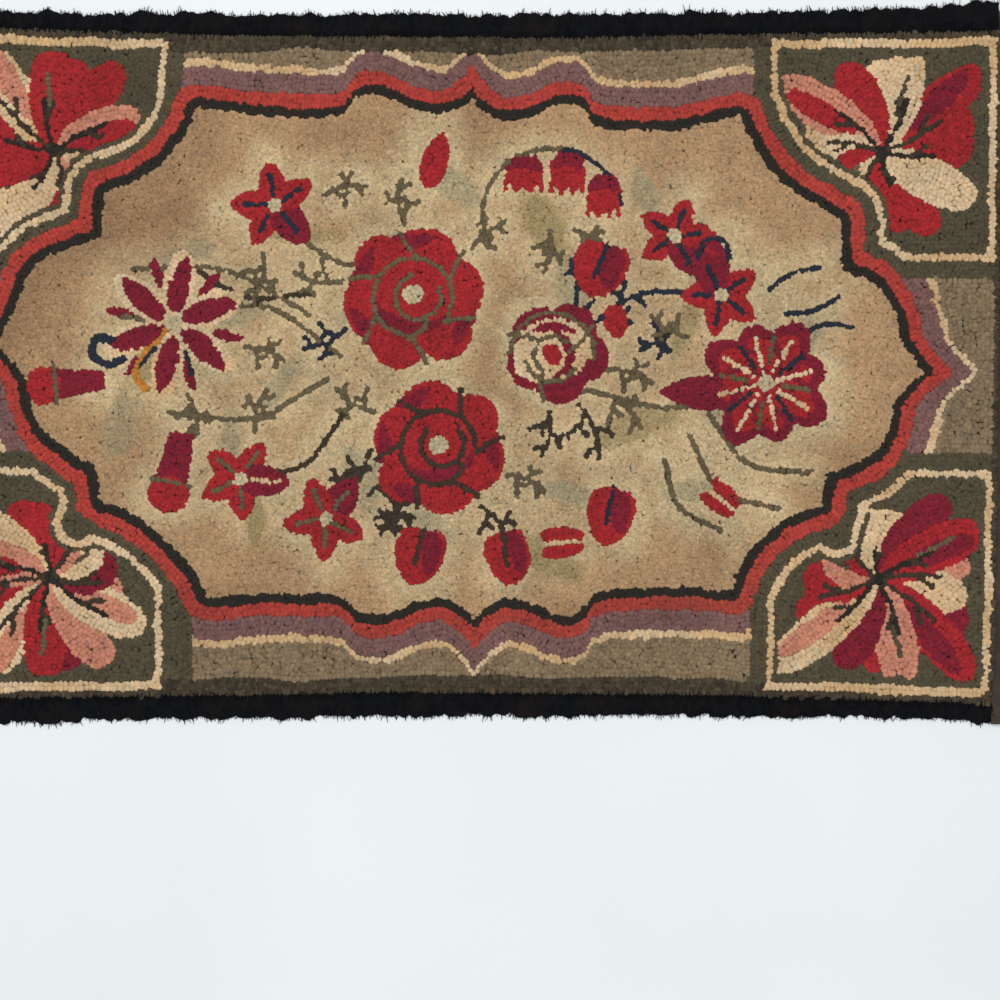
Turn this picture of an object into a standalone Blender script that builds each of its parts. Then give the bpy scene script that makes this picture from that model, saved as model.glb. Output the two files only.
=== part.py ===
"""A hooked rug, lying flat.

One hooked cloth (a thin foundation whose loops make a thick pile), a cut wool fringe sewn along its front
and back edges, and a wool tape folded over each end.  Metres, +Z up.  The origin is on the floor under the
middle of the rug, +X runs along its length and +Y towards its back edge.  The back edge and the left end are
the front edge and the right end turned half round.
"""

import math
import random

import bmesh
import bpy

# Driving sizes.
PILE_THICKNESS = 0.0072  # foundation and loops together
FOUNDATION_THICKNESS = 0.0012
HOOKED_HALF_DEPTH = 0.330  # middle of the rug to the last row of loops
HALF_LENGTH = 0.544  # middle of the rug to the fold of the end tape
FRONT_HEM = 0.006  # bare cloth past the last row, which the fringe is sewn to
TAPE_WIDTH = 0.013
TAPE_THICKNESS = 0.0011
FRINGE_THICKNESS = 0.0042
FRINGE_LENGTH = 0.025
TUFTS = 56
GAP = 0.0003  # clearance between two touching pieces

# How far the hooked front edge strays outwards from a straight line.
FRONT_WANDER = (  # (along, outwards)
    (-0.540, 0.004),
    (-0.420, 0.002),
    (-0.230, 0.000),
    (-0.090, -0.003),
    (0.060, -0.002),
    (0.220, -0.001),
    (0.340, 0.002),
    (0.470, 0.006),
    (0.540, 0.009),
)
# How far the right end strays outwards.
END_WANDER = (  # (across, outwards)
    (-0.360, -0.005),
    (-0.240, -0.003),
    (-0.080, -0.001),
    (0.060, 0.001),
    (0.220, 0.003),
    (0.360, 0.003),
)
# How much longer than FRINGE_LENGTH the fringe is.
FRINGE_EXTRA = (  # (along, longer)
    (-0.540, 0.009),
    (-0.470, 0.006),
    (-0.420, 0.002),
    (-0.300, 0.001),
    (-0.120, 0.002),
    (-0.060, -0.002),
    (0.120, 0.000),
    (0.330, -0.001),
    (0.410, -0.004),
    (0.540, -0.004),
)

# The cloth's cross-section from its cut edge inwards: distance in from the hooked edge and height share.
PILE_SHOULDER = (  # (inwards, share of the pile's height)
    (0.0006, 0.62),
    (0.0024, 0.86),
    (0.0065, 1.00),
)
CELLS_ALONG = 40
CELLS_ACROSS = 24
SWELL = 0.0004  # how far the top of the pile rises and falls


def eased(table, at):
    """The table's value at a place, running smoothly between its rows."""
    for (low, first), (high, second) in zip(table, table[1:]):
        if at <= high:
            share = max(0.0, (at - low) / (high - low))
            share = share * share * (3 - 2 * share)
            return first + (second - first) * share
    return table[-1][1]


def front_edge(x):
    """Y of the last row of loops along the front."""
    return -(HOOKED_HALF_DEPTH + eased(FRONT_WANDER, x))


def back_edge(x):
    return -front_edge(-x)


def right_end(y):
    """X of the fold of the right-hand tape."""
    return HALF_LENGTH + eased(END_WANDER, y)


def left_end(y):
    return -right_end(-y)


def pile_top(x, y):
    """Height of the loops' tips, with the slight swells of a cloth that has lain a long time."""
    swell = math.sin(9.0 * x + 1.3) * math.cos(7.0 * y) + 0.6 * math.sin(17.0 * y - 5.0 * x)
    return PILE_THICKNESS + SWELL * swell / 1.6


def clear_scene():
    for old in list(bpy.data.objects):
        bpy.data.objects.remove(old, do_unlink=True)


def wool(name, colour, roughness):
    """A plain matt cloth finish."""
    made = bpy.data.materials.new(name)
    made.use_nodes = True
    shader = made.node_tree.nodes["Principled BSDF"]
    shader.inputs["Base Color"].default_value = (*colour, 1.0)
    shader.inputs["Roughness"].default_value = roughness
    shader.inputs["Metallic"].default_value = 0.0
    return made


def new_piece(name, mesh, material, collection):
    piece = bpy.data.objects.new(name, mesh)
    mesh.materials.append(material)
    collection.objects.link(piece)
    return piece


def sheet_of(columns, rows):
    """A flat grid and its vertices as a list of rows, front row first."""
    made = bmesh.new()
    made.verts.layers.float.new("pile_share")
    bmesh.ops.create_grid(made, x_segments=columns - 1, y_segments=rows - 1, size=1.0)
    places = sorted(made.verts, key=lambda v: (round(v.co.y, 5), round(v.co.x, 5)))
    return made, [places[row * columns : (row + 1) * columns] for row in range(rows)]


def thickened(made, place_top):
    """Closes a sheet into a solid: its copy is moved up by place_top(vertex) and joined on all round."""
    lifted = bmesh.ops.extrude_face_region(made, geom=made.faces[:], use_keep_orig=True)["geom"]
    for vertex in [item for item in lifted if isinstance(item, bmesh.types.BMVert)]:
        place_top(vertex)
    bmesh.ops.recalc_face_normals(made, faces=made.faces[:])


def mesh_from(made, name):
    mesh = bpy.data.meshes.new(name)
    made.to_mesh(mesh)
    made.free()
    return mesh


def inward_steps(hem, half_width, cells):
    """Stations from the middle of the cloth out to its cut edge, as distances in from the hooked edge."""
    shoulder = [step for step, _ in PILE_SHOULDER]
    spacing = (half_width - shoulder[-1]) / (cells / 2)
    inner = [half_width - spacing * cell for cell in range(cells // 2)]
    return inner + shoulder[::-1] + [0.0, -hem]


def stations(hem, half_width, cells):
    """(side, inwards) of each line of the cloth's grid: side is -1 before the middle and 1 after it."""
    steps = inward_steps(hem, half_width, cells)
    before = [(-1, step) for step in steps[:0:-1]]
    return before + [(1, step) for step in steps]


def share_of_pile(inwards):
    """How much of the pile's height stands this far in from the hooked edge: none on the bare hem."""
    return eased(PILE_SHOULDER, inwards) if inwards > 0 else 0.0


def hooked_cloth(collection, material):
    """The cloth: a thick pile, and a thin bare hem round it that the fringe and the tapes hold."""
    end_hem = TAPE_WIDTH - TAPE_THICKNESS - 2 * GAP
    across = stations(end_hem, HALF_LENGTH - TAPE_WIDTH - 2 * GAP, CELLS_ALONG)
    along = stations(FRONT_HEM, HOOKED_HALF_DEPTH, CELLS_ACROSS)
    made, grid = sheet_of(len(across), len(along))
    pile_share = made.verts.layers.float["pile_share"]
    for (row_side, row_in), line in zip(along, grid):
        for (column_side, column_in), vertex in zip(across, line):
            middle_y = row_side * (HOOKED_HALF_DEPTH - row_in)
            end = right_end(middle_y) if column_side > 0 else left_end(middle_y)
            hooked_end = end - column_side * (TAPE_WIDTH + 2 * GAP)
            x = hooked_end - column_side * column_in
            if column_in > PILE_SHOULDER[-1][0]:
                x = hooked_end * (1 - column_in / (HALF_LENGTH - TAPE_WIDTH - 2 * GAP))
            edge = back_edge(x) if row_side > 0 else front_edge(x)
            y = edge - row_side * row_in
            if row_in > PILE_SHOULDER[-1][0]:
                y = edge * (1 - row_in / HOOKED_HALF_DEPTH)
            rise = TAPE_THICKNESS + GAP if column_in <= 0 else 0.0
            vertex.co = (x, y, rise)
            vertex[pile_share] = min(share_of_pile(row_in), share_of_pile(column_in))

    def raise_top(vertex):
        if vertex[pile_share] > 0:
            vertex.co.z = vertex[pile_share] * pile_top(vertex.co.x, vertex.co.y)
        else:
            vertex.co.z += FOUNDATION_THICKNESS

    thickened(made, raise_top)
    underside = [face for face in made.faces if max(vertex.co.z for vertex in face.verts) < 1e-7]
    bmesh.ops.dissolve_faces(made, faces=underside, use_verts=True)
    return new_piece("hooked_cloth", mesh_from(made, "hooked_cloth"), material, collection)


def fringe(collection, material):
    """The front fringe: a heading on the cloth's hem, and a comb of uneven tufts that reach the floor."""
    rng = random.Random(42)
    heading_back = 2 * GAP
    heading_front = FRONT_HEM + 2 * GAP
    ends = TAPE_WIDTH + 7 * GAP
    columns = 3 * TUFTS
    made, grid = sheet_of(columns, 4)
    tuft_shapes = [
        {
            "longer": rng.uniform(-0.0025, 0.0020),
            "slit": rng.uniform(0.0004, 0.0012),
            "point": rng.uniform(0.0010, 0.0026),
            "lean": rng.uniform(-0.0015, 0.0015),
        }
        for _ in range(TUFTS)
    ]
    start = left_end(front_edge(0)) + ends
    pitch = (right_end(front_edge(0)) - ends - start) / TUFTS
    heading_z = FOUNDATION_THICKNESS + GAP
    for column in range(columns):
        tuft, corner = divmod(column, 3)
        shape = tuft_shapes[tuft]
        side = corner - 1
        x = start + pitch * (tuft + 0.5 + 0.5 * side)
        if 0 < column < columns - 1:
            x -= side * shape["slit"] / 2
        length = FRINGE_LENGTH + eased(FRINGE_EXTRA, x) + shape["longer"] - abs(side) * shape["point"]
        tip_x = x + shape["lean"] - side * shape["slit"]
        if column in (0, columns - 1):
            tip_x = x
        reach = (length, 0.6 * length, heading_front, heading_back)
        for row, outwards in enumerate(reach):
            on_floor = row < 2
            place_x = tip_x if row == 0 else x
            z = 0.0 if on_floor else heading_z
            grid[row][column].co = (place_x, front_edge(x) - outwards, z)
    slits = [
        face
        for face in made.faces
        if min(vertex.co.y - front_edge(vertex.co.x) for vertex in face.verts) < -heading_front - 0.001
        and is_slit(face, grid)
    ]
    bmesh.ops.delete(made, geom=slits, context="FACES")

    def raise_top(vertex):
        outwards = front_edge(vertex.co.x) - vertex.co.y
        taper = max(0.0, (outwards - heading_front) / FRINGE_LENGTH)
        vertex.co.z = heading_z + FRINGE_THICKNESS * (1 - 0.75 * taper) - heading_z * min(1.0, taper)

    thickened(made, raise_top)
    return new_piece("fringe_front", mesh_from(made, "fringe"), material, collection)


def is_slit(face, grid):
    """Whether a face of the fringe lies between two tufts."""
    columns = {
        line.index(vertex) for vertex in face.verts for line in grid if vertex in line
    }
    return min(columns) % 3 == 2


def end_tape(collection, material):
    """The right-hand tape: one leg under the cloth's hem, a fold round its edge and one leg over it."""
    leg = TAPE_THICKNESS / 2
    inner = TAPE_WIDTH - GAP
    slot = FOUNDATION_THICKNESS + 2 * GAP
    turn = (slot + TAPE_THICKNESS) / 2
    fold = [
        (turn - turn * math.sin(angle), leg + turn - turn * math.cos(angle))
        for angle in (math.pi * step / 4 for step in range(5))
    ]
    section = [(inner, leg), *fold, (inner, leg + 2 * turn)]
    lines = 18
    made, grid = sheet_of(len(section), lines)
    front = front_edge(HALF_LENGTH) - FRINGE_LENGTH + 0.004
    back = back_edge(HALF_LENGTH) + FRINGE_LENGTH - 0.004
    for line, row in enumerate(grid):
        y = front + (back - front) * line / (lines - 1)
        for (inwards, height), vertex in zip(section, row):
            vertex.co = (right_end(y) - leg - inwards, y, height)
    bmesh.ops.recalc_face_normals(made, faces=made.faces[:])
    tape = new_piece("end_tape_right", mesh_from(made, "end_tape"), material, collection)
    wall = tape.modifiers.new("Tape thickness", "SOLIDIFY")
    wall.thickness = TAPE_THICKNESS
    wall.offset = 0.0
    wall.use_even_offset = True
    return tape


def turned_copy(piece, name, collection):
    """A copy of a piece turned half round about the rug's middle."""
    copy = piece.copy()
    copy.name = name
    copy.rotation_euler = (0.0, 0.0, math.pi)
    collection.objects.link(copy)
    return copy


def main():
    clear_scene()
    rug = bpy.data.collections.new("Hooked rug")
    bpy.context.scene.collection.children.link(rug)
    pile_wool = wool("Pile wool", (0.55, 0.43, 0.28), 0.95)
    black_wool = wool("Black fringe wool", (0.012, 0.011, 0.013), 0.9)
    brown_tape = wool("Brown binding tape", (0.045, 0.032, 0.022), 0.9)
    hooked_cloth(rug, pile_wool)
    front = fringe(rug, black_wool)
    turned_copy(front, "fringe_back", rug)
    right = end_tape(rug, brown_tape)
    turned_copy(right, "end_tape_left", rug)


main()
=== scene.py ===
"""The looks of a hooked rug: wool loops in a floral design, black fringe, end tapes and a burlap back.

The design is drawn in millimetres from the middle of the rug, x along its length and y towards its back
edge.  It is painted on a chart of 1 mm cells, and rows of loops are then hooked along what is painted.
"""

import math

import bmesh
import bpy
import numpy as np
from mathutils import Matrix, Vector


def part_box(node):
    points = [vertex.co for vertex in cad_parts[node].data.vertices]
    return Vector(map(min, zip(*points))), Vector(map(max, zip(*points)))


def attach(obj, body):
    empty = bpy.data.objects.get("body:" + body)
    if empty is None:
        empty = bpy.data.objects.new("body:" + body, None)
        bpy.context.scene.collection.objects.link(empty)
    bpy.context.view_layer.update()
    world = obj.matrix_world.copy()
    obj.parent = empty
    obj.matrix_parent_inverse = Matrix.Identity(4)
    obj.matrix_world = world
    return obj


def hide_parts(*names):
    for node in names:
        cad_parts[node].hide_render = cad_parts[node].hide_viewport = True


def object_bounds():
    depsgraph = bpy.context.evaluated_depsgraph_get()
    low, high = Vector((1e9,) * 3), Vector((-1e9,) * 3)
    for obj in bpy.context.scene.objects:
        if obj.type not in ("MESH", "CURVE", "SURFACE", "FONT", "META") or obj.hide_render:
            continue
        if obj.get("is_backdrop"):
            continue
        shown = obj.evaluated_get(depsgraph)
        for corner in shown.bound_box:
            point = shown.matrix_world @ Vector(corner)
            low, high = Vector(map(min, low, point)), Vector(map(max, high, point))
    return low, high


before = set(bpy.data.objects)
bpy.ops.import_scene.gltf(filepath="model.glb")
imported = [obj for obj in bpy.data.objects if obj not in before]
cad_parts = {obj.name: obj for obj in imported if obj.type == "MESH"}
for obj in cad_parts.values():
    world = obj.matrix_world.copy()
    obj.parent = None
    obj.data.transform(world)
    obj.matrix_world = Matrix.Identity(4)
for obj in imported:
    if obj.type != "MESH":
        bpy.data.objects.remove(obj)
CAD_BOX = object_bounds()

MM = 0.001
LOOP_SPACING = 4.5  # millimetres between loops along a row
FIELD_SPACING = 3.5  # the pale field is hooked closer
ROW_SPACING = 4.75
CLEARANCE = 3.6  # no two loops are nearer than this
FIELD_CLEARANCE = 2.7
LOOP_BASE = 4.3  # height that the visible part of a loop starts at
PILE_HEIGHT = 7.3
END_HEM = 4.0  # bare burlap past the loops, inside the tapes
SIDE_HEM = 5.5  # and under the fringes

rng = np.random.default_rng(1900)


# ---- The cloth's edges, from the frame


def edge_line(node, along, side, lowest):
    """A node's extreme edge on one side, as (place along it, distance out) in millimetres.

    along is 0 for an edge that runs along x and 1 for one along y, and side is -1 or 1.
    """
    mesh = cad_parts[node].data
    places = np.empty(len(mesh.vertices) * 3)
    mesh.vertices.foreach_get("co", places)
    places = places.reshape(-1, 3) / MM
    places = places[places[:, 2] > lowest]
    out = places[:, 1 - along] * side
    bins = np.round(places[:, along] / 8.0)
    found = [(places[bins == b, along].mean(), out[bins == b].max()) for b in np.unique(bins)]
    found = np.array([row for row in found if row[1] > 0.96 * out.max()])
    return found[:, 0], found[:, 1]


FRONT = edge_line("hooked_cloth", 0, -1, 3.5)
BACK = edge_line("hooked_cloth", 0, 1, 3.5)
RIGHT = edge_line("hooked_cloth", 1, 1, 3.5)
LEFT = edge_line("hooked_cloth", 1, -1, 3.5)
HALF_LENGTH = round(float(np.mean([RIGHT[1].mean(), LEFT[1].mean()])))
HALF_DEPTH = round(float(np.mean([FRONT[1].mean(), BACK[1].mean()])))


def on_cloth(x, y):
    """Where a place of the design lies on the rug, whose edges wander a little."""
    end = np.where(x > 0, np.interp(y, *RIGHT), np.interp(y, *LEFT))
    side = np.where(y > 0, np.interp(x, *BACK), np.interp(x, *FRONT))
    return x * end / HALF_LENGTH, y * side / HALF_DEPTH


# ---- Yarns


def linear(red, green, blue):
    """A dye's colour as seen, 0 to 255, in the renderer's linear values."""
    return tuple(((c / 255 + 0.055) / 1.055) ** 2.4 for c in (red, green, blue))


DYES = {
    "field": linear(172, 144, 106),
    "black": linear(36, 31, 24),
    "brick": linear(164, 56, 46),
    "mauve": linear(116, 83, 78),
    "cream": linear(202, 175, 138),
    "drab": linear(126, 106, 80),
    "olive": linear(76, 68, 49),
    "brown": linear(64, 54, 39),
    "red": linear(152, 30, 34),
    "crimson": linear(118, 20, 38),
    "stem": linear(94, 82, 58),
    "navy": linear(31, 37, 48),
    "gold": linear(176, 112, 40),
    "pink": linear(186, 122, 98),
    "bark": linear(56, 45, 32),
    "sage": linear(180, 163, 129),
}
YARNS = list(DYES)
FIELD = YARNS.index("field")
GROUNDS = ("field", "drab", "olive")
# The finest work is hooked first and the grounds last.
HOOKING_ORDER = (
    ("navy", "stem", "bark", "gold", "cream", "sage", "pink"),
    ("black", "brown"),
    ("red", "crimson", "brick", "mauve"),
    GROUNDS,
)
# How unevenly each yarn took its dye.
UNEVEN = {"field": 0.075, "cream": 0.06, "drab": 0.11, "pink": 0.08, "olive": 0.09, "brown": 0.26}
EVEN = 0.08
# The pieces that the pile is made in, and the yarns in each.
PILES = {
    "field_loops_left": ("field",),
    "field_loops_middle": ("field",),
    "field_loops_right": ("field",),
    "drab_ground_loops": ("drab",),
    "olive_ground_loops": ("olive",),
    "outline_loops": ("black", "brown", "bark", "stem", "navy"),
    "band_loops": ("brick", "mauve"),
    "petal_loops": ("red", "crimson", "gold"),
    "cream_loops": ("cream", "sage", "pink"),
}


# ---- The chart


COLUMNS = 2 * HALF_LENGTH + 1
ROWS = 2 * HALF_DEPTH + 1
ACROSS = np.arange(COLUMNS) - HALF_LENGTH
UP = np.arange(ROWS) - HALF_DEPTH
chart = np.full((ROWS, COLUMNS), FIELD, np.int8)


def of_yarns(cells, names):
    """Which cells are one of some yarns."""
    return np.isin(cells, [YARNS.index(name) for name in names])


def smooth(points, steps=8):
    """A smooth curve through some points."""
    points = [np.array(p, float) for p in points]
    points = [2 * points[0] - points[1], *points, 2 * points[-1] - points[-2]]
    curve = []
    for before, start, end, after in zip(points, points[1:], points[2:], points[3:]):
        for t in np.arange(steps) / steps:
            pull = (
                2 * start
                + (end - before) * t
                + (2 * before - 5 * start + 4 * end - after) * t**2
                + (3 * start - before - 3 * end + after) * t**3
            )
            curve.append(pull / 2)
    curve.append(points[-2])
    return np.array(curve)


def window(points, margin):
    """The rows and columns of the chart round some points."""
    low = np.floor(points.min(0) - margin).astype(int) + (HALF_LENGTH, HALF_DEPTH)
    high = np.ceil(points.max(0) + margin).astype(int) + (HALF_LENGTH + 1, HALF_DEPTH + 1)
    low = np.maximum(low, 0)
    high = np.maximum(high, low)
    return slice(low[1], high[1]), slice(low[0], high[0])


def inside(outline, rows, columns):
    """Which cells of a window lie inside a closed outline."""
    x, y = ACROSS[columns][None, :], UP[rows][:, None]
    within = np.zeros((y.shape[0], x.shape[1]), bool)
    for (x1, y1), (x2, y2) in zip(outline, np.roll(outline, -1, 0)):
        if y1 != y2:
            crossing = x1 + (y - y1) * (x2 - x1) / (y2 - y1)
            within ^= (y > min(y1, y2)) & (y <= max(y1, y2)) & (x < crossing)
    return within


def fill(outline, yarn):
    outline = np.array(outline, float)
    rows, columns = window(outline, 1)
    chart[rows, columns][inside(outline, rows, columns)] = YARNS.index(yarn)


def line(points, yarn, width=4.6, dots=None):
    """A row of hooking through some points; dots is the spacing of a dotted one."""
    curve = smooth(points) if len(points) > 2 else smooth([points[0], np.mean(points, 0), points[1]])
    if dots:
        travelled = np.concatenate([[0], np.cumsum(np.hypot(*np.diff(curve, axis=0).T))])
        stops = np.arange(0, travelled[-1], dots)
        curve = np.stack([np.interp(stops, travelled, curve[:, k]) for k in (0, 1)], 1)
        pairs = [(p, p) for p in curve]
    else:
        pairs = list(zip(curve, curve[1:]))
    for start, end in pairs:
        rows, columns = window(np.array([start, end]), width)
        x, y = ACROSS[columns][None, :] - start[0], UP[rows][:, None] - start[1]
        run = end - start
        share = np.clip((x * run[0] + y * run[1]) / max(run @ run, 1e-9), 0, 1)
        near = np.hypot(x - share * run[0], y - share * run[1]) < width / 2
        chart[rows, columns][near] = YARNS.index(yarn)


RIB_WIDTH = 5.4


def polar(x, y, distance, degrees):
    angle = math.radians(degrees)
    return (x + distance * math.cos(angle), y + distance * math.sin(angle))


def beside(x, y, degrees, u, v):
    """The place u ahead and v to the left, for a heading in degrees."""
    return polar(*polar(x, y, u, degrees), v, degrees + 90)


def turned(x, y, turn, u, v):
    """The same for a heading in radians, all in one step."""
    return (x + u * math.cos(turn) - v * math.sin(turn), y + u * math.sin(turn) + v * math.cos(turn))


def spokes(x, y, reach, turn, stops):
    """Points about a place; each stop is a share of the reach and a bearing from turn."""
    return [polar(x, y, share * reach, turn + bearing) for share, bearing in stops]


def oval(x, y, long, short, degrees, yarn):
    angles = [2 * math.pi * step / 28 for step in range(28)]
    turn = math.radians(degrees)
    fill([turned(x, y, turn, long * math.cos(a), short * math.sin(a)) for a in angles], yarn)


def petal(x, y, degrees, length, width, yarn, root=0.7, point=0.8, curl=0.0, rib=None, dots=None):
    """A petal or leaf from its root; small root and point values make its ends blunt."""
    widest = root / (root + point)
    most = widest**root * (1 - widest) ** point
    turn = math.radians(degrees)

    def place(share, out):
        return turned(x, y, turn, share * length, out + curl * length * share**2)

    shares = (1 - np.cos(np.linspace(0, math.pi, 19))) / 2
    widths = [width / 2 * (s**root * (1 - s) ** point) / most for s in shares]
    outline = [place(s, w) for s, w in zip(shares, widths)]
    outline += [place(s, -w) for s, w in zip(shares[::-1], widths[::-1])]
    fill(outline, yarn)
    if rib:
        line([place(s, 0) for s in ((0.1, 0.45, 0.78) if dots else (0.24, 0.45, 0.66))], rib, RIB_WIDTH, dots)


# ---- Motifs


def arc(x, y, radius, start, end):
    """Points along an arc between two bearings in degrees."""
    return [polar(x, y, radius, bearing) for bearing in np.linspace(start, end, 9)]


def crescent(x, y, radius, start, end, thick, yarn):
    """A curved sliver, thick in the middle and pointed at both ends."""
    bearings = np.linspace(start, end, 9)
    hollow = thick * np.sin(np.linspace(0, math.pi, 9))
    inner = [polar(x, y, radius - depth, bearing) for depth, bearing in zip(hollow, bearings)]
    fill(arc(x, y, radius, start, end) + inner[::-1], yarn)


def rose(x, y, radius, turn, yarn="stem"):
    """An open rose: six round petals about a curling cup, and a pale eye above the middle."""
    thick = 5.6 if yarn == "bark" else 4.9
    for k in range(6):
        bearing = turn + 60 * k
        full = 0.37 + 0.04 * math.sin(4 * k + turn)
        oval(*polar(x, y, 0.61 * radius, bearing), full * radius, (0.78 - full) * radius, bearing, "red")
    oval(x, y, 0.72 * radius, 0.72 * radius, 0, "red")
    for k in range(6):
        bearing = turn + 60 * k + 30
        if k % 4:
            crescent(x, y, 0.88 * radius, bearing - 34, bearing + 6, 0.22 * radius, "crimson")
        line(spokes(x, y, radius, bearing, ((0.54, -16), (0.72, -5), (0.90, 0))), yarn, thick)
    crescent(x, y, 0.52 * radius, turn + 170, turn + 320, 0.24 * radius, "crimson")
    line(arc(x, y, 0.54 * radius, turn - 40, turn + 250), yarn, thick)
    line(arc(*polar(x, y, 0.07 * radius, turn), 0.31 * radius, turn + 100, turn + 370), yarn, thick)
    line(spokes(x, y, radius, turn, ((0.54, 250), (0.44, 278), (0.30, 300))), yarn, thick)
    oval(x, y + 0.05 * radius, 0.15 * radius, 0.14 * radius, 0, "sage")


def half_open_rose(x, y, radius, turn):
    """A half-open rose: pale petals edged in crimson, wound round a red heart."""
    for k in range(5):
        bearing = turn + 72 * k
        oval(*polar(x, y, 0.54 * radius, bearing), 0.43 * radius, 0.46 * radius, bearing, "crimson")
    heart = polar(x, y, 0.10 * radius, turn)
    oval(*heart, 0.74 * radius, 0.68 * radius, turn, "cream")
    for start, end, share in ((10, 150, 0.70), (190, 300, 0.62), (60, 250, 0.44)):  # crimson hollows
        crescent(*heart, share * radius, turn + start, turn + end, 0.20 * radius, "crimson")
    for start, end, share in ((150, 330, 0.78), (-10, 120, 0.50), (200, 380, 0.34)):
        line(arc(*heart, share * radius, turn + start, turn + end), "stem")
    for bearing in (20, 155, 275):
        fold = [polar(*heart, share * radius, turn + bearing + 40 * share) for share in (0.34, 0.60, 0.88)]
        line(fold, "stem")
    oval(*heart, 0.17 * radius, 0.22 * radius, turn, "red")


def star(x, y, reach, turn, odd, rib="navy", dotted=None):
    """A pointed flower with a pale eye; ray odd is longer and crimson, and ray dotted has a dotted rib."""
    for k in range(5):
        bearing = turn + 72 * k + 6 * math.sin(2 * k + turn)
        long, wide, yarn = (1.1, 0.72, "crimson") if k == odd else (0.94, 0.60, "red")
        lined, dots = ("cream", 6) if k == dotted else (rib, None)
        petal(x, y, bearing, reach * long, wide * reach, yarn, 0.5, 0.72, rib=lined, dots=dots)
    oval(x, y, 7.5, 7, 0, "sage")


def open_lily(x, y, reach, turn):
    """Eight broad petals shaded crimson to red, with dotted pale ribs, dark stamens and a tube behind."""
    tube = polar(x, y, 0.50 * reach, turn + 180)
    petal(*tube, turn + 172, 1.05 * reach, 0.50 * reach, "crimson", 0.45, 0.9, curl=-0.10)
    spread = [(turn + 45 * k, reach * (1.0 if k % 2 else 0.86)) for k in range(8)]
    for bearing, long in spread:
        petal(x, y, bearing, long, 0.62 * reach, "crimson", 0.55, 0.55)
        petal(x, y, bearing, 0.78 * long, 0.46 * reach, "red", 0.6, 0.5)
    for k, (bearing, long) in enumerate(spread):
        line([polar(x, y, share * long, bearing) for share in (0.20, 0.48, 0.78)], "cream", 4.4, 5.8)
        stamen = [polar(x, y, share * reach, bearing + 22) for share in (0.28, 0.48, 0.64)]
        line(stamen, "stem" if k % 2 else "navy", 4.8)
    oval(x, y, 9, 8.5, 0, "sage")


def striped_lily(x, y, reach, turn):
    """Six pale petals striped with crimson, round a gold tube that curls back, with dark curls between."""
    for k in range(6):
        petal(x, y, turn + 60 * k, reach, 0.44 * reach, "cream", 0.6, 0.6)
    for k in range(6):
        bearing = turn + 60 * k
        stripe, sliver = polar(x, y, 0.13 * reach, bearing), polar(x, y, 0.52 * reach, bearing + 26)
        petal(*stripe, bearing + 5, 0.76 * reach, 0.29 * reach, "crimson", 0.55, 0.6, curl=-0.16)
        petal(*sliver, bearing + 26, 0.40 * reach, 0.13 * reach, "crimson", 0.5, 0.6)
    line(spokes(x, y, reach, turn, ((0.16, 208), (0.52, 204), (0.82, 210), (0.92, 226))), "gold", 6.5)
    curl = ((0.80, 194), (1.00, 190), (1.14, 178), (1.02, 168), (0.84, 172))
    line(spokes(x, y, reach, turn, curl), "navy", 7)
    for k in range(3):
        dash = [polar(x, y, share * reach, turn + 150 + 60 * k) for share in (0.40, 0.68)]
        line(dash, "navy" if k else "stem", RIB_WIDTH)
    oval(x, y, 10, 9.5, 0, "sage")


def trumpets(x, y, reach, turn, apart):
    """Two pointed flowers that share a curling tube; the second is apart from the first, at bearing turn."""
    other = polar(x, y, apart, turn)
    sag = polar(*polar(x, y, apart / 2, turn), 0.26 * apart, turn - 90)
    line([(x, y), sag, other], "crimson", 22)
    line([(x, y), polar(*sag, 5, turn + 90), other], "red", 11)
    star(x, y, reach, turn + 54, odd=4)
    star(*other, 0.94 * reach, turn + 20, odd=2)
    line(arc(*sag, 0.20 * apart, turn - 150, turn + 60), "navy", 5.0)


def folded_bud(x, y, degrees, length, width, lined="bark"):
    """A plump bud, crimson down one side, with its folds drawn in."""
    petal(x, y, degrees, length, width, "red", 0.26, 0.5)
    shaded = polar(x, y, 0.16 * width, degrees + 90)
    petal(*shaded, degrees + 6, 0.78 * length, 0.42 * width, "crimson", 0.35, 0.5)
    line(spokes(x, y, length, degrees, ((0.02, 0), (0.34, -6), (0.62, -4))), lined, 5.0)


def tube_bud(x, y, degrees, length, mouth, tail):
    """A closed trumpet flower: a crimson tube that opens into a red mouth past a stem-coloured band."""
    neck = 0.66 * length
    tube = ((0, -tail), (neck, -0.8 * mouth), (neck, 0.8 * mouth), (0, tail))
    fill([beside(x, y, degrees, *corner) for corner in tube], "crimson")
    oval(*beside(x, y, degrees, 0.83 * length, 0), 0.24 * length, mouth, degrees, "red")
    line([beside(x, y, degrees, neck, out * mouth) for out in (-0.95, 0.95)], "stem")


def bell(x, y, degrees, length, width):
    """A hanging bell, crimson at its cap and red at its mouth, which has three frills."""

    def places(shares):
        return [beside(x, y, degrees, u * length, v * width) for u, v in shares]

    mouth = []
    for s in np.linspace(0, 1, 19):
        frill = 0.92 + 0.10 * math.cos(math.pi * 2 * 3 * s)
        mouth.append(beside(x, y, degrees, length * frill, width * (s - 0.5) * 1.05))
    shoulder = places(((0.25, 0.5), (0, 0.30), (0, -0.30), (0.25, -0.5)))
    fill([*mouth, *shoulder], "red")
    fill([*shoulder, *places(((0.40, -0.44), (0.32, 0), (0.40, 0.44)))], "crimson")


def bell_branch(x, y, radius):
    """Three bells that hang from an arching stem."""
    line(arc(x, y, radius, 205, 80), "stem")
    line(arc(x, y, radius, 80, 12), "navy")
    for bearing, length, width in ((114, 36, 38), (76, 42, 34), (40, 44, 32)):
        bell(*polar(x, y, radius - 2, bearing), 268, length, width)


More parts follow.
